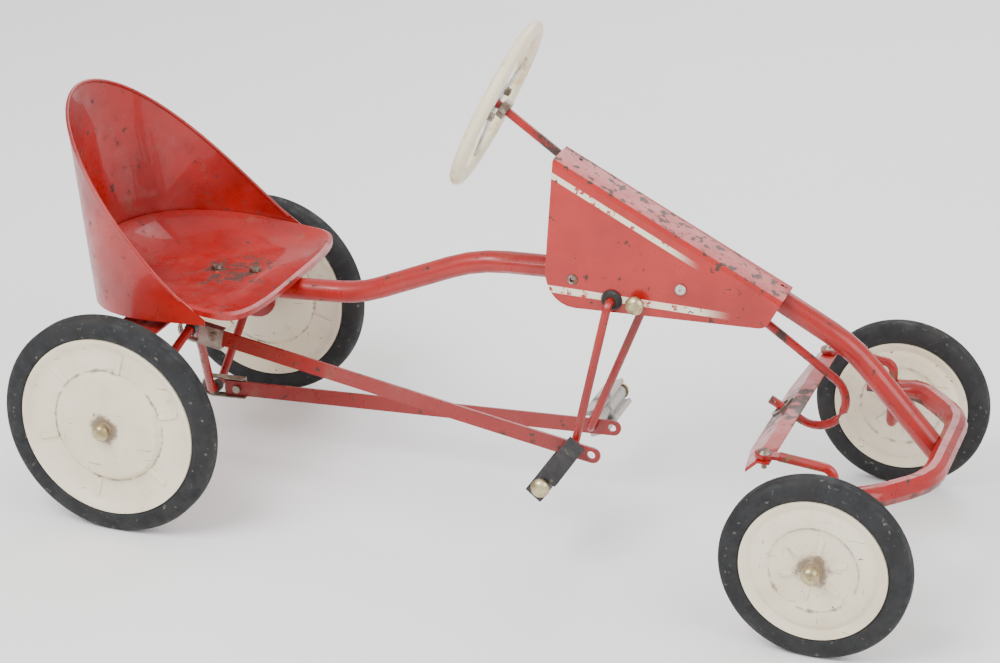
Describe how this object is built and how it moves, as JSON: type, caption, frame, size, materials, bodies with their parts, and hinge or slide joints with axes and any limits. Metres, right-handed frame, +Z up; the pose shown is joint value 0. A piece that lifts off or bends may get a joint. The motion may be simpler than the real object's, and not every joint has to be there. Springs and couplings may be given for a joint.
{
  "type": "pedal car",
  "caption": "Old open-frame pedal car: red tube frame with bucket seat, cream disc wheels, hand wheel above a folded hood, and swinging treadle pedals.",
  "frame": {"origin": "middle of the box, on the floor", "axes": "+X forward, +Z up, the near side with the hood's screw facing -Y"},
  "size_m": [1.0269, 0.4816, 0.5639],
  "materials": {
    "red_paint": "worn gloss",
    "wheel_paint": "worn satin",
    "tyre_rubber": "matte",
    "black_rubber": "matte",
    "rim_plastic": "worn gloss",
    "pedal_plastic": "matte",
    "bushing_plastic": "matte",
    "zinc_steel": "dull zinc",
    "bare_steel": "tarnished",
    "cap_brass": "tarnished"
  },
  "bodies": {
    "frame": {"main_tube": "red_paint", "front_axle_tube": "red_paint", "steering_cover": "red_paint", "cover_screw": "zinc_steel", "cover_eyelet": "bare_steel", "grommet_near": "black_rubber", "grommet_far": "black_rubber", "seat_back": "red_paint", "seat_pan": "red_paint", "seat_bolt_rear": "bare_steel", "seat_bolt_front": "bare_steel", "seat_spacer_rear": "bare_steel", "seat_spacer_front": "bare_steel", "axle_bracket": "red_paint", "axle_bushing_near": "bushing_plastic", "axle_bushing_far": "bushing_plastic"},
    "steering": {"steering_column": "red_paint", "steering_wheel_rim": "rim_plastic", "steering_wheel_spokes": "zinc_steel", "hub_collar": "bare_steel", "spoke_screw_upper": "bare_steel", "spoke_screw_lower": "bare_steel", "cotter_pin": "bare_steel"},
    "tie_link": {"tie_bar": "red_paint", "hook_washer": "bare_steel"},
    "crank": {"crank_axle": "red_paint", "throw_bushing_near": "bushing_plastic", "throw_bushing_far": "bushing_plastic", "rear_wheel_near_cap": "cap_brass", "rear_wheel_far_cap": "cap_brass"},
    "knuckle_body_near": {"knuckle_near": "red_paint", "tie_bolt_near": "bare_steel", "front_wheel_near_cap": "cap_brass"},
    "front_wheel_near": {"front_wheel_near_disc": "wheel_paint", "front_wheel_near_tyre": "tyre_rubber"},
    "rear_wheel_near": {"rear_wheel_near_disc": "wheel_paint", "rear_wheel_near_tyre": "tyre_rubber"},
    "treadle_near": {"treadle_rod_near": "red_paint", "pivot_cap_near": "cap_brass", "pedal_cap_near": "cap_brass", "retainer_near": "black_rubber"},
    "bar_near": {"connecting_bar_near": "red_paint", "strap_near": "zinc_steel", "strap_bolt_near": "bare_steel"},
    "pedal_body_near": {"pedal_near": "pedal_plastic"},
    "knuckle_body_far": {"knuckle_far": "red_paint", "tie_bolt_far": "bare_steel", "front_wheel_far_cap": "cap_brass"},
    "front_wheel_far": {"front_wheel_far_disc": "wheel_paint", "front_wheel_far_tyre": "tyre_rubber"},
    "rear_wheel_far": {"rear_wheel_far_disc": "wheel_paint", "rear_wheel_far_tyre": "tyre_rubber"},
    "treadle_far": {"treadle_rod_far": "red_paint", "pivot_cap_far": "cap_brass", "pedal_cap_far": "cap_brass", "retainer_far": "black_rubber"},
    "bar_far": {"connecting_bar_far": "red_paint", "strap_far": "bare_steel", "strap_bolt_far": "bare_steel"},
    "pedal_body_far": {"pedal_far": "pedal_plastic"}
  },
  "joints": [
    {"name": "steering_turn", "type": "hinge", "parent": "frame", "child": "steering", "pos_m": [-0.00935, 0.011, 0.4731], "axis": [0.8231, 0, -0.5678], "range_deg": [-22, 22]},
    {"name": "knuckle_turn_near", "type": "hinge", "parent": "frame", "child": "knuckle_body_near", "pos_m": [0.41345, -0.144, 0.148], "axis": [0, 0, 1], "range_deg": [-20, 20]},
    {"name": "knuckle_turn_far", "type": "hinge", "parent": "frame", "child": "knuckle_body_far", "pos_m": [0.41345, 0.144, 0.148], "axis": [0, 0, 1], "range_deg": [-20, 20]},
    {"name": "tie_bar_turn", "type": "hinge", "parent": "knuckle_body_near", "child": "tie_link", "pos_m": [0.33995, -0.144, 0.179], "axis": [0, 0, 1], "range_deg": [-20, 20]},
    {"name": "front_wheel_spin_near", "type": "hinge", "parent": "knuckle_body_near", "child": "front_wheel_near", "pos_m": [0.41345, -0.212, 0.0996], "axis": [0, 1, 0], "continuous": true},
    {"name": "front_wheel_spin_far", "type": "hinge", "parent": "knuckle_body_far", "child": "front_wheel_far", "pos_m": [0.41345, 0.212, 0.0996], "axis": [0, 1, 0], "continuous": true},
    {"name": "crank_turn", "type": "hinge", "parent": "frame", "child": "crank", "pos_m": [-0.38325, 0, 0.127], "axis": [0, 1, 0], "range_deg": [-20, 20]},
    {"name": "rear_wheel_spin_near", "type": "hinge", "parent": "crank", "child": "rear_wheel_near", "pos_m": [-0.38325, -0.205, 0.127], "axis": [0, 1, 0], "continuous": true},
    {"name": "rear_wheel_spin_far", "type": "hinge", "parent": "crank", "child": "rear_wheel_far", "pos_m": [-0.38325, 0.205, 0.127], "axis": [0, 1, 0], "continuous": true},
    {"name": "treadle_swing_near", "type": "hinge", "parent": "frame", "child": "treadle_near", "pos_m": [0.13575, -0.04, 0.2785], "axis": [0, 1, 0], "range_deg": [-8, 8]},
    {"name": "bar_swing_near", "type": "hinge", "parent": "treadle_near", "child": "bar_near", "pos_m": [0.10075, -0.052, 0.1075], "axis": [0, 1, 0], "range_deg": [-8, 8]},
    {"name": "pedal_turn_near", "type": "hinge", "parent": "treadle_near", "child": "pedal_body_near", "pos_m": [0.10075, -0.106, 0.1075], "axis": [0, 1, 0], "continuous": true},
    {"name": "treadle_swing_far", "type": "hinge", "parent": "frame", "child": "treadle_far", "pos_m": [0.16425, 0.04, 0.2795], "axis": [0, 1, 0], "range_deg": [-8, 8]},
    {"name": "bar_swing_far", "type": "hinge", "parent": "treadle_far", "child": "bar_far", "pos_m": [0.09125, 0.052, 0.088], "axis": [0, 1, 0], "range_deg": [-8, 8]},
    {"name": "pedal_turn_far", "type": "hinge", "parent": "treadle_far", "child": "pedal_body_far", "pos_m": [0.09125, 0.106, 0.088], "axis": [0, 1, 0], "continuous": true}
  ],
  "couplings": [
    {"joint": "knuckle_turn_near", "follows": "steering_turn", "ratio": -0.9},
    {"joint": "knuckle_turn_far", "follows": "steering_turn", "ratio": -0.9},
    {"joint": "tie_bar_turn", "follows": "steering_turn", "ratio": 0.9},
    {"joint": "treadle_swing_near", "follows": "crank_turn", "ratio": -0.347},
    {"joint": "treadle_swing_far", "follows": "crank_turn", "ratio": 0.333},
    {"joint": "bar_swing_near", "follows": "crank_turn", "ratio": 0.318},
    {"joint": "bar_swing_far", "follows": "crank_turn", "ratio": -0.384}
  ]
}
